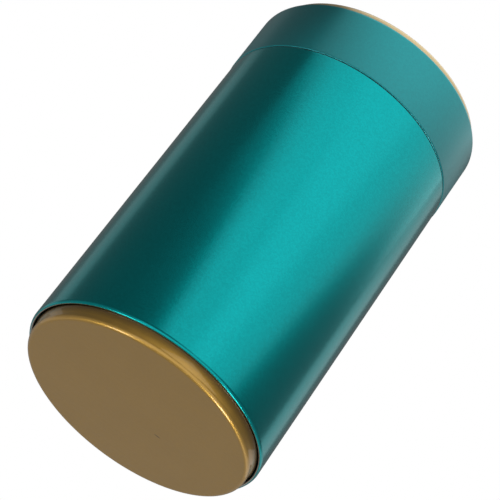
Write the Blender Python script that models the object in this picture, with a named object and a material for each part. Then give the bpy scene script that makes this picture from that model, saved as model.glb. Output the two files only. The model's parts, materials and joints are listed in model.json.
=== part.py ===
"""Round powder tin with a slip-over lid, gold end plates and a turning sifter.

The tin stands upright: +Z runs from the base to the lid along the turning axis,
and z = 0 is the flat face that it stands on. Lengths are in metres.
"""

import math

import bmesh
import bpy
from mathutils import Vector

MM = 0.001

# Driving dimensions
SHEET = 0.3 * MM              # thickness of the tinplate
GAP = 0.3 * MM                # clearance kept between neighbouring pieces
BODY_RADIUS = 35.0 * MM       # outside of the body wall
BODY_TOP = 103.6 * MM         # height of the body's upper edge, where the lid lands
LID_RADIUS = 35.35 * MM       # outside of the lid wall
LID_TOP = 122.2 * MM          # height of the lid wall's upper edge
TIN_HEIGHT = 124.4 * MM       # height of the gold plate on the lid
SEGMENTS = 48                 # facets around every large turned piece

# Rolled foot of the body, a bead that stands a little proud of the wall
FOOT_ROLL_RADIUS = 0.65 * MM
FOOT_ROLL_CENTRE_RADIUS = 34.9 * MM
FOOT_ROLL_CENTRE_Z = 4.5 * MM
FOOT_ROLL_START = 80.0        # where the roll leaves the wall's outside, in degrees
FOOT_ROLL_END = -252.0        # where it comes back to the wall's inside
FOOT_ROLL_STEPS = 12

# Gold plates: shallow pressed cups, one in the foot and one in the lid
PLATE_RADIUS = 33.8 * MM
PLATE_CORNER = 1.2 * MM
BASE_CUP_FLARE_Z = 6.4 * MM   # the base cup widens here to press against the body wall
BASE_CUP_TOP = 13.0 * MM
LID_CUP_FLARE_Z = 121.5 * MM  # the lid cup widens here to press against the lid wall
LID_CUP_BOTTOM = 119.6 * MM
FLARE_HEIGHT = 0.7 * MM

# Neck: the inner sleeve that the lid slides over
NECK_BOTTOM = 78.6 * MM
NECK_TOP = 118.6 * MM

# Lid wall: hemmed lower edge and turned-in upper edge
HEM_HEIGHT = 1.6 * MM
LID_EDGE_CORNER = 0.5 * MM
LID_EDGE_EASE = 0.1 * MM      # keeps the sheet its thickness inside that corner
LINER_RADIUS = 33.0 * MM
LINER_THICKNESS = 1.4 * MM

# Sifter: a perforated plug, a turning shutter and the rivet that holds them
SIFTER_FLOOR_Z = 112.4 * MM
SIFTER_CORNER = 0.8 * MM
HOLE_RADIUS = 1.0 * MM
HOLE_RINGS = ((9.0 * MM, 6), (15.0 * MM, 12), (21.0 * MM, 12))
SHUTTER_RADIUS = 29.0 * MM
SHUTTER_THICKNESS = 0.5 * MM
SHUTTER_TURN = math.radians(15.0)
STOP_RADIUS = 1.2 * MM        # the peg that limits the shutter's turn
STOP_HEIGHT = 1.2 * MM
STOP_DISTANCE = 26.5 * MM
STOP_ANGLE = math.radians(7.5)
NOTCH_STEPS = 6               # straight cuts along the notch that clears the peg
NOTCH_OVERRUN = 2.0 * MM      # how far the notch cutter reaches past the disc's rim
TAB_LENGTH = 5.0 * MM
TAB_WIDTH = 0.8 * MM
TAB_HEIGHT = 4.0 * MM
TAB_DISTANCE = 25.8 * MM
PIN_RADIUS = 1.2 * MM
PIN_HOLE_RADIUS = 1.5 * MM
PIN_HEAD_RADIUS = 2.8 * MM
PIN_TAIL_RADIUS = 2.4 * MM
PIN_TAIL_THICKNESS = 0.6 * MM
PIN_HEAD_EDGE = 0.4 * MM      # height of the head's straight edge
PIN_DOME_SHOULDER = 0.35 * MM # height of the dome above that edge, part of the way in
PIN_DOME_HEIGHT = 0.5 * MM
PIN_DOME_FLAT = 0.6           # share of the head's radius at which the dome's shoulder lies

# Heights and radii that follow from those above
BODY_INSIDE = BODY_RADIUS - SHEET
LID_INSIDE = LID_RADIUS - SHEET
NECK_RADIUS = BODY_INSIDE - GAP
SIFTER_RADIUS = NECK_RADIUS - SHEET - GAP
SIFTER_TOP = NECK_TOP + GAP + SHEET
LID_BOTTOM = BODY_TOP + GAP
SHUTTER_Z = SIFTER_FLOOR_Z + SHEET + GAP
PIN_HEAD_Z = SHUTTER_Z + SHUTTER_THICKNESS + GAP
LINER_Z = TIN_HEIGHT - SHEET - GAP - LINER_THICKNESS


# ---------------------------------------------------------------- materials

def finish(name, colour, roughness, metallic):
    """A Principled material of one plain colour."""
    material = bpy.data.materials.new(name)
    material.use_nodes = True
    shader = material.node_tree.nodes["Principled BSDF"]
    shader.inputs["Base Color"].default_value = (*colour, 1.0)
    shader.inputs["Roughness"].default_value = roughness
    shader.inputs["Metallic"].default_value = metallic
    return material


# ---------------------------------------------------------------- shape helpers

def arc(centre_r, centre_z, radius, start, end, steps):
    """Points along a circular arc in the (radius, height) plane, angles in degrees."""
    angles = [math.radians(start + (end - start) * i / steps) for i in range(steps + 1)]
    return [(centre_r + radius * math.cos(a), centre_z + radius * math.sin(a)) for a in angles]


def sideways(path, distance):
    """The same path moved to the left of its direction by distance, corners mitred."""
    points = [Vector(p) for p in path]
    runs = [(b - a).normalized() for a, b in zip(points, points[1:])]
    moved = []
    for i, point in enumerate(points):
        before = runs[max(i - 1, 0)]
        after = runs[min(i, len(runs) - 1)]
        left_before = Vector((-before.y, before.x))
        left_after = Vector((-after.y, after.x))
        mitre = (left_before + left_after).normalized()
        moved.append(tuple(point + mitre * (distance / mitre.dot(left_after))))
    return moved


def sheet(path, thickness):
    """The outline of a sheet that follows a path; a negative thickness lies to its right."""
    return path + sideways(path, thickness)[::-1]


def new_object(name, mesh_builder, material):
    mesh = bpy.data.meshes.new(name)
    mesh_builder.to_mesh(mesh)
    mesh_builder.free()
    mesh.shade_smooth()
    mesh.set_sharp_from_angle(angle=math.radians(30.0))
    if material:
        mesh.materials.append(material)
    piece = bpy.data.objects.new(name, mesh)
    bpy.context.collection.objects.link(piece)
    return piece


def turned(name, outline, material, segments=SEGMENTS):
    """A piece turned about Z from an outline that is closed, or whose ends lie on the axis."""
    builder = bmesh.new()
    corners = [builder.verts.new((r, 0.0, z)) for r, z in outline]
    edges = [builder.edges.new(pair) for pair in zip(corners, corners[1:])]
    if outline[0][0] > 0.0:
        edges.append(builder.edges.new((corners[-1], corners[0])))
    bmesh.ops.spin(builder, geom=corners + edges, cent=(0, 0, 0), axis=(0, 0, 1),
                   angle=math.tau, steps=segments, use_merge=True, use_duplicate=False)
    bmesh.ops.remove_doubles(builder, verts=builder.verts, dist=0.001 * MM)
    bmesh.ops.recalc_face_normals(builder, faces=builder.faces)
    return new_object(name, builder, material)


def combine(piece, other, operation):
    """Cuts the other object out of the piece, or joins it on, with a Boolean modifier."""
    other.hide_render = True
    other.display_type = "WIRE"
    modifier = piece.modifiers.new(operation.lower(), "BOOLEAN")
    modifier.operation = operation
    modifier.solver = "EXACT"
    modifier.object = other


def upright_pins(name, places, radius, bottom, top, sides=10):
    """Separate upright cylinders, all in one object, for cutting round holes."""
    builder = bmesh.new()
    for x, y in places:
        made = bmesh.ops.create_cone(builder, cap_ends=True, segments=sides, radius1=radius,
                                     radius2=radius, depth=top - bottom)
        bmesh.ops.translate(builder, verts=made["verts"], vec=(x, y, (bottom + top) / 2))
    return new_object(name, builder, None)


def prism(name, corners, bottom, top):
    """A straight block over a flat outline."""
    builder = bmesh.new()
    face = builder.faces.new([builder.verts.new((x, y, bottom)) for x, y in corners])
    raised = bmesh.ops.extrude_face_region(builder, geom=[face])["geom"]
    top_corners = [item for item in raised if isinstance(item, bmesh.types.BMVert)]
    bmesh.ops.translate(builder, verts=top_corners, vec=(0, 0, top - bottom))
    bmesh.ops.recalc_face_normals(builder, faces=builder.faces)
    return new_object(name, builder, None)


def around(radius, angle):
    return (radius * math.cos(angle), radius * math.sin(angle))


def hole_places(turn):
    """Centres of the sprinkling holes, turned about the axis by an angle."""
    return [around(radius, math.tau * i / count + turn)
            for radius, count in HOLE_RINGS for i in range(count)]


# ---------------------------------------------------------------- body, foot and neck

def body_shell(material):
    """The straight lacquered wall, closed at its foot by a rolled bead."""
    roll = arc(FOOT_ROLL_CENTRE_RADIUS, FOOT_ROLL_CENTRE_Z, FOOT_ROLL_RADIUS,
               FOOT_ROLL_START, FOOT_ROLL_END, FOOT_ROLL_STEPS)
    outline = [(BODY_RADIUS, BODY_TOP)] + roll + [(BODY_INSIDE, BODY_TOP)]
    return turned("body_shell", outline, material)


def base_cup(material):
    """The gold plate at the foot: a cup whose widened wall presses into the body."""
    widened = NECK_RADIUS
    path = [(0.0, 0.0)]
    path += arc(PLATE_RADIUS - PLATE_CORNER, PLATE_CORNER, PLATE_CORNER, -90.0, 0.0, 4)
    path += [
        (PLATE_RADIUS, BASE_CUP_FLARE_Z),
        (widened, BASE_CUP_FLARE_Z + FLARE_HEIGHT),
        (widened, BASE_CUP_TOP),
    ]
    return turned("base_cup", sheet(path, SHEET), material)


def neck_ring(material):
    """The inner sleeve, pressed into the body, that the lid slides over."""
    path = [(NECK_RADIUS, NECK_BOTTOM), (NECK_RADIUS, NECK_TOP)]
    return turned("neck_ring", sheet(path, SHEET), material)


# ---------------------------------------------------------------- sifter

def sifter_cup(material):
    """The plug in the neck: a recessed floor with sprinkling holes and a flange on the rim."""
    path = [(0.0, SIFTER_FLOOR_Z)]
    path += arc(SIFTER_RADIUS - SIFTER_CORNER, SIFTER_FLOOR_Z + SIFTER_CORNER, SIFTER_CORNER,
                -90.0, 0.0, 3)
    path += [(SIFTER_RADIUS, SIFTER_TOP - SHEET), (NECK_RADIUS, SIFTER_TOP - SHEET)]
    cup = turned("sifter_cup", sheet(path, SHEET), material)

    floor_top = SIFTER_FLOOR_Z + SHEET
    stop = upright_pins("stop_peg", [around(STOP_DISTANCE, STOP_ANGLE)], STOP_RADIUS,
                        floor_top - SHEET / 2, floor_top + STOP_HEIGHT)
    combine(cup, stop, "UNION")
    holes = upright_pins("sifter_holes", hole_places(0.0), HOLE_RADIUS,
                         SIFTER_FLOOR_Z - SHEET, floor_top + SHEET)
    combine(cup, holes, "DIFFERENCE")
    pin_hole = upright_pins("sifter_pin_hole", [(0.0, 0.0)], PIN_HOLE_RADIUS,
                            SIFTER_FLOOR_Z - SHEET, floor_top + SHEET, sides=16)
    combine(cup, pin_hole, "DIFFERENCE")
    return cup


def shutter_disc(material):
    """The turning disc: its holes meet the sifter's when it is turned to the open stop."""
    top = SHUTTER_Z + SHUTTER_THICKNESS
    path = [(0.0, SHUTTER_Z), (SHUTTER_RADIUS, SHUTTER_Z)]
    disc = turned("shutter_disc", sheet(path, SHUTTER_THICKNESS), material)

    tab_corners = [(TAB_DISTANCE + TAB_LENGTH * u / 2, TAB_WIDTH * v / 2)
                   for u, v in ((-1, -1), (1, -1), (1, 1), (-1, 1))]
    tab_corners = [(-x, -y) for x, y in tab_corners]
    tab = prism("finger_tab", tab_corners, top - SHUTTER_THICKNESS / 2, top + TAB_HEIGHT)
    combine(disc, tab, "UNION")

    clear = math.asin((STOP_RADIUS + GAP) / STOP_DISTANCE)
    first = STOP_ANGLE - SHUTTER_TURN - clear
    last = STOP_ANGLE + clear
    angles = [first + (last - first) * i / NOTCH_STEPS for i in range(NOTCH_STEPS + 1)]
    inner = STOP_DISTANCE - STOP_RADIUS - GAP
    outer = SHUTTER_RADIUS + NOTCH_OVERRUN
    corners = [around(inner, a) for a in angles] + [around(outer, a) for a in reversed(angles)]
    notch = prism("stop_notch", corners, SHUTTER_Z - SHEET, top + SHEET)
    combine(disc, notch, "DIFFERENCE")
    holes = upright_pins("shutter_holes", hole_places(-SHUTTER_TURN), HOLE_RADIUS,
                         SHUTTER_Z - SHEET, top + SHEET)
    combine(disc, holes, "DIFFERENCE")
    pin_hole = upright_pins("shutter_pin_hole", [(0.0, 0.0)], PIN_HOLE_RADIUS,
                            SHUTTER_Z - SHEET, top + SHEET, sides=16)
    combine(disc, pin_hole, "DIFFERENCE")
    return disc


def sifter_rivet(material):
    """The rivet that the shutter turns on: a spread tail, a shank and a low domed head."""
    tail_top = SIFTER_FLOOR_Z - GAP
    tail_bottom = tail_top - PIN_TAIL_THICKNESS
    head_edge = PIN_HEAD_Z + PIN_HEAD_EDGE
    outline = [
        (0.0, tail_bottom),
        (PIN_TAIL_RADIUS, tail_bottom),
        (PIN_TAIL_RADIUS, tail_top),
        (PIN_RADIUS, tail_top),
        (PIN_RADIUS, PIN_HEAD_Z),
        (PIN_HEAD_RADIUS, PIN_HEAD_Z),
        (PIN_HEAD_RADIUS, head_edge),
        (PIN_HEAD_RADIUS * PIN_DOME_FLAT, head_edge + PIN_DOME_SHOULDER),
        (0.0, head_edge + PIN_DOME_HEIGHT),
    ]
    return turned("sifter_rivet", outline, material, segments=16)


# ---------------------------------------------------------------- lid

def lid_skirt(material):
    """The lacquered lid wall: hemmed inwards below, turned in above to hold the gold plate."""
    hem_inside = LID_INSIDE - SHEET
    corner = LID_EDGE_CORNER
    flange_inside = PLATE_RADIUS + GAP
    outline = [(flange_inside, LID_TOP)]
    outline += arc(LID_RADIUS - corner, LID_TOP - corner, corner, 90.0, 0.0, 3)
    outline += arc(LID_RADIUS - SHEET, LID_BOTTOM + SHEET, SHEET, 0.0, -180.0, 4)
    outline += [
        (hem_inside, LID_BOTTOM + HEM_HEIGHT),
        (LID_INSIDE, LID_BOTTOM + HEM_HEIGHT),
        (LID_INSIDE, LID_TOP - corner - LID_EDGE_EASE),
        (LID_RADIUS - corner, LID_TOP - SHEET),
        (flange_inside, LID_TOP - SHEET),
    ]
    return turned("lid_skirt", outline, material)


def lid_top_cup(material):
    """The gold plate on the lid: a shallow cup, face up, held by the lid's turned-in edge."""
    widened = LID_INSIDE - GAP
    path = [(0.0, TIN_HEIGHT)]
    path += arc(PLATE_RADIUS - PLATE_CORNER, TIN_HEIGHT - PLATE_CORNER, PLATE_CORNER, 90.0, 0.0, 4)
    path += [
        (PLATE_RADIUS, LID_CUP_FLARE_Z),
        (widened, LID_CUP_FLARE_Z - FLARE_HEIGHT),
        (widened, LID_CUP_BOTTOM),
    ]
    return turned("lid_top_cup", sheet(path, -SHEET), material)


def lid_liner(material):
    """The soft disc inside the lid that closes over the sifter."""
    path = [(0.0, LINER_Z), (LINER_RADIUS, LINER_Z)]
    return turned("lid_liner", sheet(path, LINER_THICKNESS), material)


# ---------------------------------------------------------------- assembly

def frame_point(name, height, parent):
    """An empty on the tin's axis that carries one moving group."""
    empty = bpy.data.objects.new(name, None)
    bpy.context.collection.objects.link(empty)
    empty.empty_display_size = 10.0 * MM
    empty.location = (0.0, 0.0, height)
    bpy.context.view_layer.update()
    attach(empty, parent)
    return empty


def attach(piece, parent):
    """Parents a piece without moving it."""
    if parent:
        piece.parent = parent
        piece.matrix_parent_inverse = parent.matrix_world.inverted()
        bpy.context.view_layer.update()


def build_tin():
    for leftover in list(bpy.data.objects):
        bpy.data.objects.remove(leftover, do_unlink=True)

    teal = finish("teal_lacquer", (0.005, 0.30, 0.30), 0.35, 0.8)
    gold = finish("gold_lacquer", (0.36, 0.24, 0.09), 0.42, 0.9)
    tinplate = finish("bare_tinplate", (0.72, 0.72, 0.70), 0.30, 1.0)
    foam = finish("liner_foam", (0.78, 0.74, 0.64), 0.85, 0.0)

    tin_body = frame_point("tin_body", 0.0, None)
    sifter = frame_point("sifter", SIFTER_FLOOR_Z, tin_body)
    shutter = frame_point("shutter", SHUTTER_Z, sifter)
    lid = frame_point("lid", LID_BOTTOM, sifter)

    for piece in (body_shell(teal), base_cup(gold), neck_ring(tinplate)):
        attach(piece, tin_body)
    for piece in (sifter_cup(tinplate), sifter_rivet(tinplate)):
        attach(piece, sifter)
    attach(shutter_disc(tinplate), shutter)
    for piece in (lid_skirt(teal), lid_top_cup(gold), lid_liner(foam)):
        attach(piece, lid)


build_tin()
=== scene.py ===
# %% [markdown]
# # A round powder tin with a slip-over lid
#
# The tin is made of tinplate: a straight teal wall, a teal lid of almost the same width, and a
# gold pressed plate at each end. Under the lid stand a bright inner sleeve and a sifter with a
# turning shutter. The working model, with its joints, is loaded first and is never changed. Each
# of its faceted pieces is then made again here, with fine smooth surfaces and a proper finish.

# %% Load the working model
import json
import math

import bpy
from mathutils import Matrix, Vector

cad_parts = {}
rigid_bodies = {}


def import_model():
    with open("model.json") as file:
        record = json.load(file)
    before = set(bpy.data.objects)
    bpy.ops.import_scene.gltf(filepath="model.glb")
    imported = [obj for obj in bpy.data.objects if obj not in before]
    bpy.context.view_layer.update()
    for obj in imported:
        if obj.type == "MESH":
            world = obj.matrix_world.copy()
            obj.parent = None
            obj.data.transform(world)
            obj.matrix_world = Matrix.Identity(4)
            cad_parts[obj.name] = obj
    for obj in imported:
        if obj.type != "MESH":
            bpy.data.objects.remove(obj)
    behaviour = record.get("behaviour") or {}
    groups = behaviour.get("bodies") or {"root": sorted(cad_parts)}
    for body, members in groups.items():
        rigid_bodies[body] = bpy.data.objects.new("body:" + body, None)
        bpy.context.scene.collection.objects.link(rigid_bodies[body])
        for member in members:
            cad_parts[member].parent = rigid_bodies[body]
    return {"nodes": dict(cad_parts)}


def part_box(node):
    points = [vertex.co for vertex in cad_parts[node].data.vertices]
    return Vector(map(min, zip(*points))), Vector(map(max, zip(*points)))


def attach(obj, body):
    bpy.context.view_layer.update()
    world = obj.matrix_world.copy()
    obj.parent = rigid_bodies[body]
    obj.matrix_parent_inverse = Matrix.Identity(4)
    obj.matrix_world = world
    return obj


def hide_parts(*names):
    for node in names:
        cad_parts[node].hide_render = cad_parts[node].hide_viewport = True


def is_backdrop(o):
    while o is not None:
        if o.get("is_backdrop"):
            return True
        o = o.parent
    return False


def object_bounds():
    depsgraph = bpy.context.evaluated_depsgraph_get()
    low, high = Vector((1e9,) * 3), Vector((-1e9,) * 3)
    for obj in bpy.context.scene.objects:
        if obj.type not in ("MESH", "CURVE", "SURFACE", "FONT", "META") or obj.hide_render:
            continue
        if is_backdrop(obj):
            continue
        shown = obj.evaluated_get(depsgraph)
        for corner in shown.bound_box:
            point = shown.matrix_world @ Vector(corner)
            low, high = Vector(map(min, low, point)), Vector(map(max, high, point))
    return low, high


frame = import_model()
working_box = [list(corner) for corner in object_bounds()]
print("pieces in the working model:", sorted(frame["nodes"]))

# %% [markdown]
# The tin stands on its gold foot plate, with its axis on Z. Sizes are read from the working
# model's boxes, so that each fine piece sits exactly where its working piece is. A round piece's
# box gives its largest radius, its lowest point and its highest point.

# %% Sizes taken from the working model
MM = 0.001


def span(node_name):
    """The outer radius, the bottom and the top of a round piece of the working model."""
    low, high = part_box(node_name)
    return high.x, low.z, high.z


ROLL_BOTTOM, WALL_TOP = span("body_shell")[1:]
FOOT_FACE, FOOT_PLATE_TOP = span("base_cup")[1:]
NECK_RADIUS, NECK_BOTTOM, NECK_TOP = span("neck_ring")
LID_OUTER, LID_BOTTOM, LID_TOP = span("lid_skirt")
LID_PRESS_OUTER, LID_PLATE_BOTTOM, TIN_TOP = span("lid_top_cup")
PLUG_RADIUS, SIFTER_FLOOR, SIFTER_TOP = span("sifter_cup")
RIVET_RADIUS, RIVET_BOTTOM, RIVET_TOP = span("sifter_rivet")
LINER_RADIUS, LINER_BOTTOM, LINER_TOP = span("lid_liner")
SHUTTER_BOTTOM, TAB_TOP = span("shutter_disc")[1:]

SHEET = 0.3 * MM              # the tinplate's thickness
GAP = 0.3 * MM                # the clearance between neighbouring pieces
LID_EASE = 0.16 * MM          # a finished lid fits more snugly than the working one
LID_RADIUS = LID_OUTER - LID_EASE
LID_PRESS_RADIUS = LID_PRESS_OUTER - LID_EASE
WALL_RADIUS = NECK_RADIUS + GAP + SHEET
print(f"wall radius {WALL_RADIUS / MM:.2f} mm, lid radius {LID_RADIUS / MM:.2f} mm, "
      f"height {TIN_TOP / MM:.2f} mm")

# %% [markdown]
# ## Turning a piece from its section
#
# Every large piece of the tin is round: the sheet is rolled, spun or pressed in round tools.
# The same thing in Blender is to draw one half of the piece's section and to spin it about the
# axis. A vertex is placed, and each further point of the section is extruded from the last one.
# A cylinder with bevels would also work, but a spin gives even rings of faces, which shade
# cleanly on metal, and it lets the sheet curl back on itself as in a rolled edge.

# %% Draw a section point by point
def deselect_all():
    """Back to object mode with nothing selected, because operators act on all that is."""
    if bpy.context.object and bpy.context.object.mode != "OBJECT":
        bpy.ops.object.mode_set(mode="OBJECT")
    bpy.ops.object.select_all(action="DESELECT")


def bow(centre, radius, start, end, steps):
    """Points of a circular arc in the section, from one angle to another, in degrees."""
    angles = [math.radians(start + (end - start) * i / steps) for i in range(steps + 1)]
    return [(centre[0] + radius * math.cos(a), centre[1] + radius * math.sin(a)) for a in angles]


def draw_section(name, points):
    """A string of edges in the XZ plane: a small plane is merged to a point, then extruded."""
    deselect_all()
    x, z = points[0]
    bpy.ops.mesh.primitive_plane_add(size=MM, location=(x, 0.0, z))
    piece = bpy.context.object
    piece.name = piece.data.name = name
    bpy.ops.object.mode_set(mode="EDIT")
    bpy.ops.mesh.select_all(action="SELECT")
    bpy.ops.mesh.merge(type="CENTER")
    for (x0, z0), (x1, z1) in zip(points, points[1:]):
        step = (x1 - x0, 0.0, z1 - z0)
        bpy.ops.mesh.extrude_region_move(TRANSFORM_OT_translate={"value": step})
    return piece


def join_ends(piece):
    """Adds the edge between the section's last point and its first one."""
    bpy.ops.mesh.select_all(action="DESELECT")
    bpy.ops.object.mode_set(mode="OBJECT")
    for vertex in (piece.data.vertices[0], piece.data.vertices[-1]):
        vertex.select = True
    bpy.ops.object.mode_set(mode="EDIT")
    bpy.ops.mesh.edge_face_add()


# %% [markdown]
# Tinplate has one thickness everywhere, so most sections are a line and its twin, moved
# sideways by that thickness. Each corner moves along its mitre, the line that halves the bend,
# so that the thickness stays true round a bend.

# %% A sheet that follows a line
def twin(path, distance):
    """The same line moved to its left by a distance."""
    points = [Vector(p) for p in path]
    runs = [(b - a).normalized() for a, b in zip(points, points[1:])]
    moved = []
    for i, point in enumerate(points):
        before, after = runs[max(i - 1, 0)], runs[min(i, len(runs) - 1)]
        left = Vector((-after.y, after.x))
        mitre = (Vector((-before.y, before.x)) + left).normalized()
        moved.append(tuple(point + mitre * (distance / mitre.dot(left))))
    return moved


def sheet(path, thickness=SHEET):
    """The outline of a sheet on the left of a line, or on its right if it is negative."""
    return list(path) + twin(path, thickness)[::-1]


# %% [markdown]
# The spin goes all the way round, and its last ring is merged with the first. Where a section
# ends on the axis, the same merge closes the pole. Normals are made consistent after the merge,
# because a spin can turn a shape inside out.

# %% Spin the section and settle the piece
ROUND_STEPS = 256             # flats around a large piece, too fine to see
MERGE = 0.002 * MM            # points closer than this become one
CRISP_ANGLE = math.radians(40.0)


def settle(piece):
    """Ends the modelling: the piece's place goes into its mesh, and it shades smooth."""
    deselect_all()
    piece.select_set(True)
    bpy.context.view_layer.objects.active = piece
    bpy.ops.object.transform_apply(location=True, rotation=True, scale=True)
    bpy.ops.object.shade_smooth_by_angle(angle=CRISP_ANGLE)
    corners = [Vector(c) for c in piece.bound_box]
    lowest, highest = corners[0], corners[6]
    size = (highest - lowest) / MM
    print(f"{piece.name}: {size.x:.1f} x {size.y:.1f} x {size.z:.1f} mm, "
          f"{len(piece.data.polygons)} faces")
    return piece


def turn(name, points, steps=ROUND_STEPS):
    """A round piece from a section that is a loop, or whose two ends lie on the axis."""
    piece = draw_section(name, points)
    if points[0][0] > 0.0:
        join_ends(piece)
    bpy.ops.mesh.select_all(action="SELECT")
    bpy.ops.mesh.spin(steps=steps, angle=math.tau, center=(0.0, 0.0, 0.0), axis=(0.0, 0.0, 1.0))
    bpy.ops.mesh.select_all(action="SELECT")
    bpy.ops.mesh.remove_doubles(threshold=MERGE)
    bpy.ops.mesh.normals_make_consistent(inside=False)
    return settle(piece)


# %% [markdown]
# ## The body wall
#
# The wall is one rolled sheet, whose radius grows a little from the lid down to the foot. At its
# foot the edge turns in, softly at first, and ends in a tight curl, which makes it stiff and
# safe to touch. Its upper edge is slightly rounded. Points are set close together on both sides
# of each bend, so that the straight wall shades dead straight, as rolled metal does.

# %% Wall with its curled foot
NEAR = 0.12 * MM              # how close a guard point sits to a bend
TURN_RADIUS = 1.4 * MM        # the soft turn, and how far round it goes
TURN_ANGLE = 30.0
TURN_TOP = ROLL_BOTTOM + 0.85 * MM
CURL_RADIUS = 0.4 * MM        # the tight curl, and the angle at which it ends
CURL_END = -240.0
TAPER = 0.38 * MM             # how much the radius grows from the lid to the foot
EDGE_ROUND = 0.25 * MM


def wall_at(height):
    """The wall's outer radius at a height."""
    return WALL_RADIUS + TAPER * (WALL_TOP - height) / WALL_TOP


wall_inside = WALL_RADIUS - SHEET
wall_section = [(wall_inside, WALL_TOP), (WALL_RADIUS - EDGE_ROUND - NEAR / 4, WALL_TOP)]
wall_section += bow((WALL_RADIUS - EDGE_ROUND, WALL_TOP - EDGE_ROUND), EDGE_ROUND, 90, 0, 8)
soft_turn = bow((wall_at(TURN_TOP) - TURN_RADIUS, TURN_TOP), TURN_RADIUS, 0, -TURN_ANGLE, 8)
lean = math.radians(TURN_ANGLE)
curl_centre = (soft_turn[-1][0] - CURL_RADIUS * math.cos(lean),
               soft_turn[-1][1] + CURL_RADIUS * math.sin(lean))
wall_section += [
    (WALL_RADIUS, WALL_TOP - EDGE_ROUND - NEAR),
    (wall_at(WALL_TOP / 2), WALL_TOP / 2),
    (wall_at(TURN_TOP + NEAR), TURN_TOP + NEAR),
]
wall_section += soft_turn[:-1] + bow(curl_centre, CURL_RADIUS, -TURN_ANGLE, CURL_END, 30)
wall_section += [
    (wall_at(TURN_TOP) - SHEET, TURN_TOP + SHEET),
    (wall_at(WALL_TOP / 2) - SHEET, WALL_TOP / 2),
    (wall_inside, WALL_TOP - NEAR),
]
body_wall = turn("body_wall", wall_section)

# %% [markdown]
# ## The gold plates
#
# Both ends are shallow pressed cups of gold-lacquered sheet. The flat face meets a round corner
# of 1.2 mm, and a short wall runs into the tin, where it widens to press against the teal
# sheet. One function draws both, so that they have the same corner. The foot's wall is hollow:
# it starts upright and leans more and more outwards until it nearly meets the teal curl.

# %% Foot plate and lid plate
PLATE_RADIUS = 33.8 * MM
FOOT_RADIUS = 33.6 * MM
FOOT_HOLLOW = 9.5 * MM        # the radius of the foot's hollow wall, and how far it leans
FOOT_LEAN = 18.0
PLATE_CORNER = 1.2 * MM
FLARE = 0.7 * MM              # height over which the wall widens
FOOT_WALL_END = 6.4 * MM      # heights at which the two walls start to widen
LID_WALL_END = 121.5 * MM


def plate_path(face, inwards, radius, wall, press_radius, lip):
    """The outside line of a plate; inwards is 1 where the tin lies above its face, or -1."""
    corner = (radius - PLATE_CORNER, face + inwards * PLATE_CORNER)
    path = [(0.0, face), (radius / 2, face), (corner[0] - NEAR, face)]
    path += bow(corner, PLATE_CORNER, -90 * inwards, 0, 16) + wall
    end = wall[-1][1]
    path += [
        (press_radius, end + inwards * FLARE),
        (press_radius, end + inwards * (FLARE + NEAR)),
        (press_radius, lip),
    ]
    return path


hollow_bottom = FOOT_FACE + PLATE_CORNER
foot_wall = bow((FOOT_RADIUS + FOOT_HOLLOW, hollow_bottom), FOOT_HOLLOW, 180,
                180 - FOOT_LEAN, 12)[1:]
foot_wall += [(foot_wall[-1][0] + NEAR / 4, foot_wall[-1][1] + NEAR),
              (foot_wall[-1][0] + NEAR / 4, FOOT_WALL_END)]
foot_path = plate_path(FOOT_FACE, 1, FOOT_RADIUS, foot_wall,
                       wall_at(FOOT_PLATE_TOP) - SHEET, FOOT_PLATE_TOP)
foot_plate = turn("foot_plate", sheet(foot_path))
lid_plate_wall = [(PLATE_RADIUS, TIN_TOP - PLATE_CORNER - NEAR),
                  (PLATE_RADIUS, LID_WALL_END)]
lid_path = plate_path(TIN_TOP, -1, PLATE_RADIUS, lid_plate_wall, LID_PRESS_RADIUS,
                      LID_PLATE_BOTTOM)
lid_plate = turn("lid_plate", sheet(lid_path, -SHEET))

# %% [markdown]
# ## The lid wall
#
# The lid's lower edge is hemmed: folded inwards and pressed flat, so that it is round to the
# touch and twice as thick. Its upper edge is turned in over the gold plate's shoulder and holds
# the plate. Closed, the lid rests almost on the body, with only a hairline between them.

# %% Lid wall with its hem
HEM_HEIGHT = 1.6 * MM
LID_RIM = LID_TOP - 0.2 * MM  # the turned-in edge; the gold plate stands out of it
LID_CORNER = 0.9 * MM
HAIRLINE = 0.12 * MM
lid_foot = WALL_TOP + HAIRLINE
lid_inside = LID_RADIUS - SHEET
hem_inside = lid_inside - SHEET
flange_inside = PLATE_RADIUS + GAP
corner_centre = (LID_RADIUS - LID_CORNER, LID_RIM - LID_CORNER)

lid_section = [(flange_inside, LID_RIM), (corner_centre[0] - NEAR, LID_RIM)]
lid_section += bow(corner_centre, LID_CORNER, 90, 0, 8)
lid_section += [
    (LID_RADIUS, corner_centre[1] - NEAR),
    (LID_RADIUS, (LID_RIM + lid_foot) / 2),
    (LID_RADIUS, lid_foot + SHEET + NEAR),
]
lid_section += bow((lid_inside, lid_foot + SHEET), SHEET, 0, -180, 12)
lid_section += [
    (hem_inside, lid_foot + HEM_HEIGHT - NEAR),
    (hem_inside + NEAR, lid_foot + HEM_HEIGHT),
    (lid_inside, lid_foot + HEM_HEIGHT),
    (lid_inside, lid_foot + HEM_HEIGHT + NEAR),
    (lid_inside, corner_centre[1] - NEAR),
]
lid_section += bow(corner_centre, LID_CORNER - SHEET, 0, 90, 4)
lid_section += [(flange_inside, LID_RIM - SHEET)]
lid_wall = turn("lid_wall", lid_section)

# %% [markdown]
# ## The neck sleeve
#
# A lid as wide as the body can't slide over it. It slides over an inner sleeve of bright
# tinplate instead, which is pressed into the body's mouth and stands 15 mm out of it. Its rim
# is rounded off, so that it doesn't cut the fingers.

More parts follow.
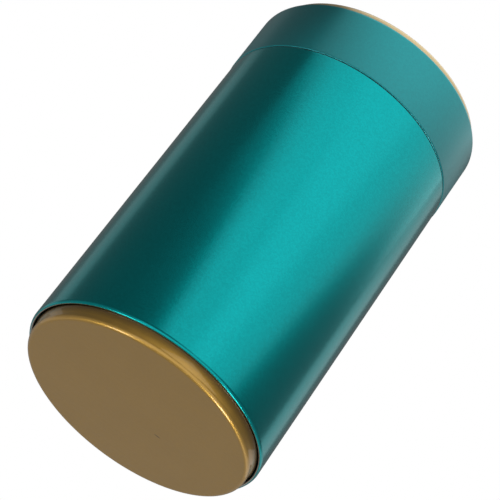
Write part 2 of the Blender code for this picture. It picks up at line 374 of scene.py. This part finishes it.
# %% Sleeve
RIM = 0.15 * MM
sleeve_inside = NECK_RADIUS - SHEET
sleeve_section = [
    (sleeve_inside, NECK_BOTTOM),
    (NECK_RADIUS, NECK_BOTTOM),
    (NECK_RADIUS, WALL_TOP),
    (NECK_RADIUS, NECK_TOP - RIM - NEAR),
]
sleeve_section += bow((NECK_RADIUS - RIM, NECK_TOP - RIM), RIM, 0, 180, 10)
sleeve_section += [(sleeve_inside, NECK_TOP - RIM - NEAR), (sleeve_inside, WALL_TOP)]
neck_sleeve = turn("neck_sleeve", sleeve_section)

# %% [markdown]
# ## The sifter plug
#
# The plug is pressed from one disc: its flange rests on the sleeve's rim, and its floor is sunk
# and punched with thirty holes in three rings. Punches are modelled as what they are: one short
# cylinder is added for each hole, they are joined, and a Boolean modifier takes them out.

# %% Take tools out of a piece
def cut(piece, tools):
    """Joins the cutting tools, takes them out of the piece and throws them away."""
    deselect_all()
    for tool in tools:
        tool.select_set(True)
    bpy.context.view_layer.objects.active = tools[0]
    if len(tools) > 1:
        bpy.ops.object.join()
    deselect_all()
    piece.select_set(True)
    bpy.context.view_layer.objects.active = piece
    modifier = piece.modifiers.new("cut", "BOOLEAN")
    modifier.operation = "DIFFERENCE"
    modifier.solver = "EXACT"
    modifier.object = tools[0]
    bpy.ops.object.modifier_apply(modifier=modifier.name)
    bpy.data.objects.remove(tools[0])


# %% Punch the holes
HOLE_RADIUS = 1.0 * MM
HOLE_RINGS = ((9.0 * MM, 6), (15.0 * MM, 12), (21.0 * MM, 12))   # radius and number of holes
PIN_HOLE = 1.5 * MM           # the radius of the rivet's hole
TOOL_DEPTH = 4 * MM           # a cutting tool's length, far more than the sheet's thickness


def punch(piece, height, turn_degrees):
    """Cuts the sprinkling holes and the rivet's hole through a disc at a height."""
    deselect_all()
    places = [(0.0, 0.0, PIN_HOLE)]
    for ring, count in HOLE_RINGS:
        for i in range(count):
            angle = math.tau * i / count + math.radians(turn_degrees)
            places.append((ring * math.cos(angle), ring * math.sin(angle), HOLE_RADIUS))
    for x, y, radius in places:
        bpy.ops.mesh.primitive_cylinder_add(vertices=32, radius=radius, depth=TOOL_DEPTH,
                                            location=(x, y, height))
        bpy.context.object.name = "punch"
    cut(piece, [o for o in bpy.context.scene.objects if o.name.startswith("punch")])
    print(f"{piece.name}: {len(places)} holes punched")


# %% Plug with a punched floor
BEND = 0.8 * MM
PLUG_RING = 0.8               # a ring of points outside the holes, as a share of the radius
plug_wall = NECK_RADIUS - SHEET - GAP
plug_bend = (plug_wall - BEND, SIFTER_FLOOR + BEND)
plug_path = [(0.0, SIFTER_FLOOR), (plug_wall * PLUG_RING, SIFTER_FLOOR),
             (plug_bend[0] - NEAR, SIFTER_FLOOR)]
plug_path += bow(plug_bend, BEND, -90, 0, 8)
plug_path += [
    (plug_wall, plug_bend[1] + NEAR),
    (plug_wall, SIFTER_TOP - SHEET - NEAR),
    (plug_wall, SIFTER_TOP - SHEET),
    (plug_wall + NEAR, SIFTER_TOP - SHEET),
    (PLUG_RADIUS, SIFTER_TOP - SHEET),
]
sifter_plug = turn("sifter_plug", sheet(plug_path))
punch(sifter_plug, SIFTER_FLOOR, 0.0)
settle(sifter_plug)

# %% [markdown]
# ## The shutter
#
# A disc with the same holes lies on the floor. Turned by 15 degrees, half the spacing of the
# outer holes, it opens or closes them all. A peg on the floor stands in a notch in the disc's
# edge and stops it at both ends. The disc is cut from sheet, so its rim has a small bevel.

# %% Shutter disc
SHUTTER_RADIUS = 29.0 * MM
SHUTTER_THICKNESS = 0.5 * MM
SHUTTER_TURN = 15.0
SHUTTER_RING = 0.85           # a ring of points outside the holes, as a share of the radius
RIM_BEVEL = 0.1 * MM
shutter_top = SHUTTER_BOTTOM + SHUTTER_THICKNESS
shutter_section = [
    (0.0, SHUTTER_BOTTOM),
    (SHUTTER_RADIUS * SHUTTER_RING, SHUTTER_BOTTOM),
    (SHUTTER_RADIUS - RIM_BEVEL, SHUTTER_BOTTOM),
    (SHUTTER_RADIUS, SHUTTER_BOTTOM + RIM_BEVEL),
    (SHUTTER_RADIUS, shutter_top - RIM_BEVEL),
    (SHUTTER_RADIUS - RIM_BEVEL, shutter_top),
    (SHUTTER_RADIUS * SHUTTER_RING, shutter_top),
    (0.0, shutter_top),
]
sifter_shutter = turn("sifter_shutter", shutter_section)
punch(sifter_shutter, SHUTTER_BOTTOM, -SHUTTER_TURN)

# %% [markdown]
# The notch is cut by a cube that reaches out past the rim. Only its four upright edges are
# bevelled first, so that the notch gets round inner corners, as a punched one has.

# %% Notch in the shutter's edge
NOTCH_INNER = 24.7 * MM
NOTCH_OUTER = 31.0 * MM
NOTCH_WIDTH = 9.9 * MM
NOTCH_CORNER = 1.2 * MM
notch_middle = (NOTCH_INNER + NOTCH_OUTER) / 2
deselect_all()
bpy.ops.mesh.primitive_cube_add(size=1.0, location=(notch_middle, 0.0, SHUTTER_BOTTOM),
                                scale=(NOTCH_OUTER - NOTCH_INNER, NOTCH_WIDTH, TOOL_DEPTH))
notch = bpy.context.object
bpy.ops.object.transform_apply(location=False, rotation=False, scale=True)
bpy.ops.object.mode_set(mode="EDIT")
bpy.ops.mesh.select_all(action="DESELECT")
bpy.ops.object.mode_set(mode="OBJECT")
for edge in notch.data.edges:
    a, b = (notch.data.vertices[i].co for i in edge.vertices)
    edge.select = abs(a.z - b.z) > MM
bpy.ops.object.mode_set(mode="EDIT")
bpy.ops.mesh.bevel(offset=NOTCH_CORNER, segments=6, affect="EDGES")
cut(sifter_shutter, [notch])
settle(sifter_shutter)

# %% [markdown]
# ## The finger tab
#
# The tab is a small upright fin that a finger pushes. A bent strip of sheet would look the same
# from outside, so the tab simply starts as a cube of its size, and all its edges are bevelled.

# %% Finger tab
TAB_LENGTH, TAB_WIDTH, TAB_DISTANCE = 5.0 * MM, 0.8 * MM, 25.8 * MM
TAB_ROUND = 0.3 * MM
SEAT = 0.1 * MM               # how far a fixed part is sunk into what it stands on
tab_height = TAB_TOP - shutter_top + SEAT
deselect_all()
bpy.ops.mesh.primitive_cube_add(size=1.0, location=(-TAB_DISTANCE, 0.0, TAB_TOP - tab_height / 2),
                                scale=(TAB_LENGTH, TAB_WIDTH, tab_height))
shutter_tab = bpy.context.object
shutter_tab.name = shutter_tab.data.name = "shutter_tab"
bpy.ops.object.transform_apply(location=False, rotation=False, scale=True)
bpy.ops.object.mode_set(mode="EDIT")
bpy.ops.mesh.select_all(action="SELECT")
bpy.ops.mesh.bevel(offset=TAB_ROUND, segments=5, affect="EDGES")
settle(shutter_tab)

# %% [markdown]
# ## Stop peg and rivet
#
# The peg is a short pin with a rounded top. The rivet has a low domed head above the shutter and
# a spread tail under the floor. Both are round, so they are turned from sections again. The peg
# is turned on the tin's axis and then moved to its place.

# %% Stop peg
PEG_RADIUS, PEG_HEIGHT, PEG_ROUND = 1.2 * MM, 1.2 * MM, 0.4 * MM
PEG_DISTANCE, PEG_ANGLE = 26.5 * MM, math.radians(7.5)
FLOOR_TOP = SIFTER_FLOOR + SHEET
peg_top = FLOOR_TOP + PEG_HEIGHT
peg_section = [(0.0, FLOOR_TOP - SEAT), (PEG_RADIUS, FLOOR_TOP - SEAT)]
peg_section += bow((PEG_RADIUS - PEG_ROUND, peg_top - PEG_ROUND), PEG_ROUND, 0, 90, 6)
peg_section += [(0.0, peg_top)]
stop_peg = turn("stop_peg", peg_section, steps=48)
stop_peg.location = (PEG_DISTANCE * math.cos(PEG_ANGLE), PEG_DISTANCE * math.sin(PEG_ANGLE), 0.0)
settle(stop_peg)

# %% Rivet
TAIL_RADIUS, SHANK_RADIUS = 2.4 * MM, 1.2 * MM
HEAD_EDGE = 0.25 * MM         # the head's straight edge, under its dome
tail_top = SIFTER_FLOOR - GAP
head_bottom = shutter_top + GAP
rivet_section = [(0.0, RIVET_BOTTOM), (TAIL_RADIUS - NEAR, RIVET_BOTTOM),
                 (TAIL_RADIUS, RIVET_BOTTOM + NEAR), (TAIL_RADIUS, tail_top),
                 (SHANK_RADIUS, tail_top), (SHANK_RADIUS, head_bottom),
                 (RIVET_RADIUS, head_bottom)]
dome = RIVET_TOP - head_bottom - HEAD_EDGE
rivet_section += [(RIVET_RADIUS * x, head_bottom + HEAD_EDGE + dome * z)
                  for x, z in bow((0.0, 0.0), 1.0, 0, 90, 12)]
rivet_section[-1] = (0.0, RIVET_TOP)
shutter_rivet = turn("shutter_rivet", rivet_section, steps=64)

# %% [markdown]
# ## The foam liner
#
# A soft white disc inside the lid closes over the sifter and keeps the powder dry. It is cut
# from foam sheet, so its edges are soft: a section with rounded corners, turned.

# %% Liner
SOFT = 0.4 * MM
liner_section = [(0.0, LINER_BOTTOM), (LINER_RADIUS / 2, LINER_BOTTOM)]
liner_section += bow((LINER_RADIUS - SOFT, LINER_BOTTOM + SOFT), SOFT, -90, 0, 6)
liner_section += bow((LINER_RADIUS - SOFT, LINER_TOP - SOFT), SOFT, 0, 90, 6)
liner_section += [(LINER_RADIUS / 2, LINER_TOP), (0.0, LINER_TOP)]
lid_foam = turn("lid_foam", liner_section)

# %% [markdown]
# ## Tools for the finishes
#
# All finishes read Object coordinates: a point's own place in metres. The pieces are never
# unwrapped, so a pattern has the same size everywhere and meets itself round the tin. Two small
# helpers keep the node trees short: one adds a node and links it, and one starts a finish.

# %% Add a node and start a finish
def node(tree, kind, **inputs):
    """A node whose inputs are each set to a value or linked to another node's output."""
    made = tree.nodes.new(kind)
    for key, value in inputs.items():
        socket = made.inputs[key.replace("_", " ")]
        if isinstance(value, bpy.types.NodeSocket):
            tree.links.new(value, socket)
        else:
            socket.default_value = value
    return made


def start_finish(name):
    """A new finish: the material, its node tree, its shader and the object coordinates."""
    material = bpy.data.materials.new(name)
    material.use_nodes = True
    tree = material.node_tree
    place = tree.nodes.new("ShaderNodeTexCoord").outputs["Object"]
    return material, tree, tree.nodes["Principled BSDF"], place


# %% [markdown]
# Three more make patterns: a noise, a pattern spread over a range of numbers, and the product of
# two. A pattern is one number at every point, so patterns can be chained.

# %% Patterns
def noise(tree, place, scale, detail=2.0, stretch=(1.0, 1.0, 1.0)):
    """A soft random pattern; a stretch above 1 makes it finer along that axis."""
    shaped = node(tree, "ShaderNodeMapping", Vector=place, Scale=stretch).outputs["Vector"]
    made = node(tree, "ShaderNodeTexNoise", Vector=shaped, Scale=scale, Detail=detail)
    return made.outputs["Fac"]


def spread(tree, value, low, high, start=0.3, end=0.7):
    """Maps a pattern's range from start to end onto low to high."""
    made = node(tree, "ShaderNodeMapRange", Value=value)
    for index, number in enumerate((start, end, low, high), 1):
        made.inputs[index].default_value = number
    return made.outputs["Result"]


def times(tree, a, b):
    """The product of two patterns."""
    made = tree.nodes.new("ShaderNodeMath")
    made.operation = "MULTIPLY"
    tree.links.new(a, made.inputs[0])
    tree.links.new(b, made.inputs[1])
    return made.outputs[0]


# %% [markdown]
# The last two put a pattern on a surface, as its brightness or as fine bumps.

# %% Brightness and bumps
def shaded(tree, colour, brightness):
    """A colour whose brightness follows a pattern."""
    made = node(tree, "ShaderNodeHueSaturation", Value=brightness, Color=(*colour, 1.0))
    return made.outputs["Color"]


def bumped(tree, shader, height, strength, depth):
    """Lets a pattern tilt the surface a little."""
    made = node(tree, "ShaderNodeBump", Height=height, Strength=strength, Distance=depth)
    tree.links.new(made.outputs["Normal"], shader.inputs["Normal"])


# %% [markdown]
# ## Specks and marks
#
# A used tin has tiny specks where the lacquer is chipped or dusty. A Voronoi pattern scatters
# one point in each cell, and only what is very close to a point becomes a speck.

# %% Specks
SPECK_CORE = 0.6              # the share of a speck's radius that is darkest


def specks(tree, place, per_metre, radius, inside):
    """A brightness that is 1, and lower inside small round specks."""
    cells = node(tree, "ShaderNodeTexVoronoi", Vector=place, Scale=per_metre)
    reach = radius * per_metre
    return spread(tree, cells.outputs["Distance"], inside, 1.0, reach * SPECK_CORE, reach)


# %% [markdown]
# ## Teal lacquer
#
# The teal is a clear coloured lacquer with fine metal flakes over bright tinplate. It is dark
# where it mirrors something dark and glows where it mirrors a light, so it is a metal with a
# teal tint, not a paint. Every cell of a fine Voronoi pattern is a flake of its own brightness,
# and a thin smooth coat lies on top. The lid is lacquered in another run: a little greyer and
# hazier, most of all near the hem, where it is held each time the tin is opened.

# %% Teal lacquer on the wall and on the lid
FLAKES_PER_METRE = 2600.0


def flaked_tint(tree, place, colour, flake):
    """A colour that differs from flake to flake, with faint clouds and dark specks."""
    cells = node(tree, "ShaderNodeTexVoronoi", Vector=place, Scale=FLAKES_PER_METRE)
    one = node(tree, "ShaderNodeSeparateColor", Color=cells.outputs["Color"]).outputs["Red"]
    flakes = spread(tree, one, 1.0 - flake, 1.0 + flake, 0.0, 1.0)
    clouds = spread(tree, noise(tree, place, 45.0), 0.985, 1.015)
    dust = specks(tree, place, per_metre=40.0, radius=0.22 * MM, inside=0.75)
    return shaded(tree, colour, times(tree, times(tree, flakes, clouds), dust))


def lacquer(name, colour, flake, coat, coat_ior, coat_roughness):
    """A tinted metal under a clear coat; its roughness is linked by the caller."""
    material, tree, shader, place = start_finish(name)
    tree.links.new(flaked_tint(tree, place, colour, flake), shader.inputs["Base Color"])
    shader.inputs["Metallic"].default_value = 1.0
    shader.inputs["Coat Weight"].default_value = coat
    shader.inputs["Coat IOR"].default_value = coat_ior
    shader.inputs["Coat Roughness"].default_value = coat_roughness
    bumped(tree, shader, noise(tree, place, 1600.0), strength=0.05, depth=0.02 * MM)
    return material, tree, shader, place


TEAL, tree, shader, place = lacquer("teal_lacquer", (0.002, 0.36, 0.37), flake=0.06,
                                    coat=0.4, coat_ior=1.25, coat_roughness=0.1)
tree.links.new(spread(tree, noise(tree, place, 30.0), 0.2, 0.23), shader.inputs["Roughness"])

TEAL_LID, tree, shader, place = lacquer("teal_lid_lacquer", (0.004, 0.27, 0.29), flake=0.05,
                                        coat=0.65, coat_ior=1.5, coat_roughness=0.28)
height = node(tree, "ShaderNodeSeparateXYZ", Vector=place).outputs["Z"]
tree.links.new(spread(tree, height, 0.47, 0.32, LID_BOTTOM, LID_TOP), shader.inputs["Roughness"])
print("teal finishes:", TEAL.name, TEAL_LID.name)

# %% [markdown]
# ## Gold lacquer
#
# The plates are satin: a soft gold sheen under a thin glossy varnish, which draws a fine bright
# line along the round corner. The foot rubs on whatever it stands on, so it has a few specks,
# faint brushed scratches and one small dark scuff. Towards the groove beside the curl its gold
# is darkened as painted shade. The lid's plate is painted a paler gold, as a painted highlight.

# %% Gold lacquer on the foot and on the lid
SCUFF = (8.6 * MM, 4.6 * MM, 0.0)
SCUFF_SIZE = (1.2 * MM, 0.3 * MM, 2.0 * MM)      # how far it reaches along X, Y and Z
GROOVE_SHADE_START, GROOVE_SHADE_END = 2.1 * MM, 4.1 * MM    # the painted shade deepens between these heights


def gold(name, colour, wear_and_shade):
    """A satin gold under a glossy varnish; wear_and_shade is a brightness made by the caller,
    with real wear and, on the foot, painted shade.
    """
    material, tree, shader, place = start_finish(name)
    grain = spread(tree, noise(tree, place, 900.0, 3.0), 0.985, 1.015)
    clouds = spread(tree, noise(tree, place, 60.0), 0.98, 1.02)
    dust = specks(tree, place, per_metre=90.0, radius=0.16 * MM, inside=0.7)
    tone = times(tree, times(tree, grain, clouds), times(tree, dust, wear_and_shade(tree, place)))
    tree.links.new(shaded(tree, colour, tone), shader.inputs["Base Color"])
    scratches = noise(tree, place, 40.0, 3.0, stretch=(1.0, 24.0, 1.0))
    tree.links.new(spread(tree, scratches, 0.37, 0.42), shader.inputs["Roughness"])
    shader.inputs["Metallic"].default_value = 1.0
    shader.inputs["Coat Weight"].default_value = 1.0
    shader.inputs["Coat IOR"].default_value = 1.5
    shader.inputs["Coat Roughness"].default_value = 0.05
    bumped(tree, shader, noise(tree, place, 1200.0), strength=0.04, depth=0.02 * MM)
    return material


def foot_scuff_and_groove_shade(tree, place):
    """One small scuff on the face, and painted shade that darkens the gold towards the groove
    beside the curl.
    """
    moved = node(tree, "ShaderNodeVectorMath", Vector=place)
    moved.operation = "SUBTRACT"
    moved.inputs[1].default_value = SCUFF
    near = node(tree, "ShaderNodeVectorMath", Vector=moved.outputs["Vector"])
    near.operation = "DIVIDE"
    near.inputs[1].default_value = SCUFF_SIZE
    away = node(tree, "ShaderNodeVectorMath", Vector=near.outputs["Vector"])
    away.operation = "LENGTH"
    scuff = spread(tree, away.outputs["Value"], 0.35, 1.0, 0.5, 1.0)
    height = node(tree, "ShaderNodeSeparateXYZ", Vector=place).outputs["Z"]
    # Painted shade: the gold is darkened towards the groove beside the curl, down to 0.12 of its
    # brightness.
    return times(tree, scuff, spread(tree, height, 1.0, 0.12, GROOVE_SHADE_START, GROOVE_SHADE_END))


def lid_wear(tree, place):
    """Soft patches, where the lid has been held."""
    return spread(tree, noise(tree, place, 25.0), 0.97, 1.03)


# The foot's gold carries its scuff and a painted shade towards the groove.
GOLD = gold("gold_lacquer", (0.54, 0.315, 0.055), foot_scuff_and_groove_shade)
# Painted highlight: the lid's plate is a paler copy of the gold, standing in for the bright light
# it catches.
GOLD_LID_PAINTED_HIGHLIGHT = gold("painted_highlight_gold_lacquer", (0.62, 0.48, 0.25), lid_wear)
print("gold finishes:", GOLD.name, GOLD_LID_PAINTED_HIGHLIGHT.name)

# %% [markdown]
# ## Bare tinplate and foam
#
# The inside is uncoated tinplate, bright with the fine straight grain of the rolling mill. The
# grain is a noise that is stretched along one axis: round the sleeve for the rolled pieces, and
# straight across for the pressed discs. The foam is matt, with small cells.

# %% Bare tinplate and foam
def tinplate(name, stretch):
    """Bright metal with a rolled grain."""
    material, tree, shader, place = start_finish(name)
    grain = noise(tree, place, 60.0, 4.0, stretch)
    tone = shaded(tree, (0.66, 0.66, 0.64), spread(tree, grain, 0.95, 1.04))
    tree.links.new(tone, shader.inputs["Base Color"])
    tree.links.new(spread(tree, grain, 0.26, 0.34), shader.inputs["Roughness"])
    shader.inputs["Metallic"].default_value = 1.0
    bumped(tree, shader, grain, strength=0.06, depth=0.01 * MM)
    return material


TIN_ROLLED = tinplate("tinplate_rolled", (1.0, 1.0, 30.0))
TIN_PRESSED = tinplate("tinplate_pressed", (30.0, 1.0, 1.0))

FOAM, tree, shader, place = start_finish("liner_foam")
cells = node(tree, "ShaderNodeTexVoronoi", Vector=place, Scale=1400.0).outputs["Distance"]
tone = shaded(tree, (0.78, 0.77, 0.73), spread(tree, cells, 1.04, 0.9, 0.0, 0.6))
tree.links.new(tone, shader.inputs["Base Color"])
shader.inputs["Roughness"].default_value = 0.9
bumped(tree, shader, cells, strength=0.4, depth=0.1 * MM)
print("finishes:", [m.name for m in bpy.data.materials])

# %% [markdown]
# ## Each piece gets its finish and its body
#
# A piece rides on the body that carries it: the tin's body, the sifter, the shutter or the lid.
# Its working piece is hidden. The lid and the body are lacquered on the
# outside only, so their inner faces, those that look towards the axis, get bare tinplate.

# %% Finish and body
def dress(piece, material, body, working=None):
    """Gives a piece its finish and its body, and hides the working piece it stands for."""
    piece.data.materials.clear()
    piece.data.materials.append(material)
    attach(piece, body)
    if working:
        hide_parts(working)
    print(f"{piece.name}: {material.name}, on {body}")


dress(body_wall, TEAL, "tin_body", "body_shell")
dress(foot_plate, GOLD, "tin_body", "base_cup")
dress(neck_sleeve, TIN_ROLLED, "tin_body", "neck_ring")
dress(sifter_plug, TIN_PRESSED, "sifter", "sifter_cup")
dress(stop_peg, TIN_PRESSED, "sifter")
dress(shutter_rivet, TIN_PRESSED, "sifter", "sifter_rivet")
dress(sifter_shutter, TIN_PRESSED, "shutter", "shutter_disc")
dress(shutter_tab, TIN_PRESSED, "shutter")
dress(lid_wall, TEAL_LID, "lid", "lid_skirt")
dress(lid_plate, GOLD_LID_PAINTED_HIGHLIGHT, "lid", "lid_top_cup")
dress(lid_foam, FOAM, "lid", "lid_liner")

# %% Bare metal on the inner faces
def bare_inside(piece, limit):
    """Gives bare tinplate to the faces inside a radius that look towards the axis."""
    piece.data.materials.append(TIN_ROLLED)
    inner = 0
    for face in piece.data.polygons:
        outwards = Vector((face.center.x, face.center.y, 0.0))
        if outwards.length < limit and face.normal.dot(outwards) < 0.0:
            face.material_index = 1
            inner += 1
    print(f"{piece.name}: {inner} inner faces are bare metal")


bare_inside(body_wall, WALL_RADIUS - SHEET / 2)
bare_inside(lid_wall, lid_inside + SHEET / 2)

# %% [markdown]
# ## The floor
#
# The tin stands on a plain pale floor. The floor is seen from above only: from below it lets
# the camera look through, so that the foot can be shown. It fades out at a distance, so that no
# edge shows, and it is kept out of reflections, where the soft lights stand in for a studio.

# %% Floor
FLOOR_RADIUS = 1.6
FADE_START, FADE_END = 0.25, 0.9 * FLOOR_RADIUS
deselect_all()
bpy.ops.mesh.primitive_circle_add(vertices=128, radius=FLOOR_RADIUS, fill_type="NGON")
floor = bpy.context.object
floor.name = floor.data.name = "floor"
floor.visible_diffuse = floor.visible_glossy = floor.visible_shadow = False
FLOOR, tree, shader, place = start_finish("floor_pale")
mottle = spread(tree, noise(tree, place, 8.0, 3.0), 0.99, 1.01)
tree.links.new(shaded(tree, (0.8, 0.8, 0.79), mottle), shader.inputs["Base Color"])
shader.inputs["Roughness"].default_value = 0.8
shader.inputs["Emission Color"].default_value = (1.0, 1.0, 1.0, 1.0)
shader.inputs["Emission Strength"].default_value = 0.22
outwards = node(tree, "ShaderNodeVectorMath", Vector=place)
outwards.operation = "LENGTH"
near = spread(tree, outwards.outputs["Value"], 1.0, 0.0, FADE_START, FADE_END)
behind = tree.nodes.new("ShaderNodeNewGeometry").outputs["Backfacing"]
front = spread(tree, behind, 1.0, 0.0, 0.0, 1.0)
tree.links.new(times(tree, near, front), shader.inputs["Alpha"])
floor.data.materials.append(FLOOR)
floor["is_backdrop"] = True
print(f"floor fades out between {FADE_START:.2f} m and {FADE_END:.2f} m")

# %% [markdown]
# ## The camera
#
# The camera looks at the tin from below its foot, 31 degrees under the level, with a long lens
# from 0.6 m away, and it leans to one side, so that the standing tin lies slantwise in the
# picture. All of this is in the camera: the tin itself stands upright.

# %% Camera
AIM = Vector((-0.6 * MM, 0.0, 59.2 * MM))
DISTANCE = 599.2 * MM
BELOW = math.radians(31.17)
LEAN = math.radians(36.35)
LENS = 159.35

deselect_all()
away = Vector((0.0, -math.cos(BELOW), -math.sin(BELOW)))
bpy.ops.object.camera_add(location=AIM + away * DISTANCE)
camera = bpy.context.object
camera.data.lens = LENS
camera.data.sensor_width = 36.0
camera.data.clip_start = 0.01
level = (-away).to_track_quat("-Z", "Y").to_matrix()
leaned = level @ Matrix.Rotation(LEAN, 3, "Z")
camera.rotation_euler = leaned.to_euler()
bpy.context.scene.camera = camera
print("camera at", [round(c, 4) for c in camera.location])

# %% [markdown]
# ## The lights
#
# Metal shows its surroundings, so the lights are large and soft, and placed as the reflections
# need them. A light can be given in two ways: by its direction and the angles that it fills, or
# by one corner and the two edges that leave it, which suits a light whose edges show as lines.

# %% Two ways to place a light
bpy.context.scene.view_settings.view_transform = "Standard"
MIDDLE = Vector((0.0, 0.0, TIN_TOP / 2))
LIGHT_DISTANCE = 2.5


def add_light(name, centre, axes, wide, high, brightness):
    """A rectangular light about the tin's middle; its brightness is what a mirror would show."""
    deselect_all()
    bpy.ops.object.light_add(type="AREA")
    lamp = bpy.context.object
    lamp.name = name
    lamp.data.shape = "RECTANGLE"
    lamp.data.size, lamp.data.size_y = wide, high
    lamp.data.energy = brightness * math.pi * wide * high
    lamp.matrix_world = Matrix.Translation(MIDDLE + centre) @ axes.to_4x4()
    lamp.visible_camera = False
    return lamp


def softbox(name, azimuth, elevation, wide, high, brightness):
    """A light in a direction, with its width and height as angles in degrees."""
    az, el = math.radians(azimuth), math.radians(elevation)
    away = Vector((math.sin(az) * math.cos(el), -math.cos(az) * math.cos(el), math.sin(el)))
    sides = [2 * LIGHT_DISTANCE * math.tan(math.radians(angle / 2)) for angle in (wide, high)]
    facing = away.to_track_quat("Z", "Y").to_matrix()
    return add_light(name, away * LIGHT_DISTANCE, facing, *sides, brightness)


def corner_light(name, corner, left, right, brightness):
    """A light given by its low corner and the two edges that leave it."""
    x, y = left.normalized(), right.normalized()
    facing = x.cross(y)
    if facing.dot(corner) < 0:
        y, facing = -y, -facing
    axes = Matrix((x, y, facing)).transposed()
    centre = corner + (left + right) / 2
    return add_light(name, centre, axes, left.length, right.length, brightness)


# %% [markdown]
# The main light is a big softbox that hangs over the tin with one corner low in front. It gives
# the broad bright band and its slanting edges, and two weaker panels in its plane brighten its
# heart and its far side. Two tall strips stand behind, left and right, and draw the pale lines
# near the outline. A weak card low in front fills the shadows, and two small lights low at the
# sides put the bright line on the curl and on the gold corner.

# %% Softboxes
KEY_CORNER = Vector((0.506, -1.933, 0.098))      # the low corner, from the tin's middle
KEY_LEFT = Vector((-0.794, 0.345, 0.500))        # the directions of the two edges there
KEY_RIGHT = Vector((0.578, 0.672, 0.463))
corner_light("key", KEY_CORNER, 3.0 * KEY_LEFT, 6.0 * KEY_RIGHT, 0.80)
corner_light("key_heart", KEY_CORNER + 0.42 * KEY_LEFT + 0.50 * KEY_RIGHT,
             2.0 * KEY_LEFT, 4.0 * KEY_RIGHT, 0.24)
corner_light("key_far", KEY_CORNER + 1.1 * KEY_LEFT + 0.1 * KEY_RIGHT,
             1.9 * KEY_LEFT, 4.0 * KEY_RIGHT, 0.10)
softbox("low_front", 5, -35, 90, 60, 0.6)
softbox("strip_left", -130, -6, 20, 84, 0.21)
softbox("strip_right", 131, -2, 24, 92, 0.42)
softbox("low_left", -75, -58, 16, 16, 6.5)
softbox("low_right", 92, -57, 16, 16, 9.0)

# %% [markdown]
# The rest of the studio is dim: a little brighter below, as over a pale table, and darker
# above. Where the camera looks past the tin it sees plain white.

# %% Surroundings
GLOW_BELOW, GLOW_ABOVE = 0.33, 0.14
world = bpy.data.worlds.new("studio")
bpy.context.scene.world = world
world.use_nodes = True
tree = world.node_tree
around = tree.nodes["Background"]
around.inputs["Color"].default_value = (1.0, 1.0, 1.0, 1.0)
direction = tree.nodes.new("ShaderNodeTexCoord").outputs["Generated"]
height = node(tree, "ShaderNodeSeparateXYZ", Vector=direction).outputs["Z"]
tree.links.new(spread(tree, height, GLOW_BELOW, GLOW_ABOVE, -0.1, 0.3), around.inputs["Strength"])
seen = node(tree, "ShaderNodeBackground", Color=(1.0, 1.0, 1.0, 1.0))
mix = tree.nodes.new("ShaderNodeMixShader")
tree.links.new(tree.nodes.new("ShaderNodeLightPath").outputs["Is Camera Ray"], mix.inputs[0])
tree.links.new(around.outputs[0], mix.inputs[1])
tree.links.new(seen.outputs[0], mix.inputs[2])
tree.links.new(mix.outputs[0], tree.nodes["World Output"].inputs["Surface"])
print("glow below and above:", GLOW_BELOW, GLOW_ABOVE)

# %% [markdown]
# ## Last step
#
# Both boxes are printed in millimetres: the working model's and the finished model's.

# %% Print the sizes and finish
finished_box = [list(corner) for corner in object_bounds()]
for title, box in (("working", working_box), ("finished", finished_box)):
    print(title, "size in mm:", [round((high - low) / MM, 2) for low, high in zip(*box)])
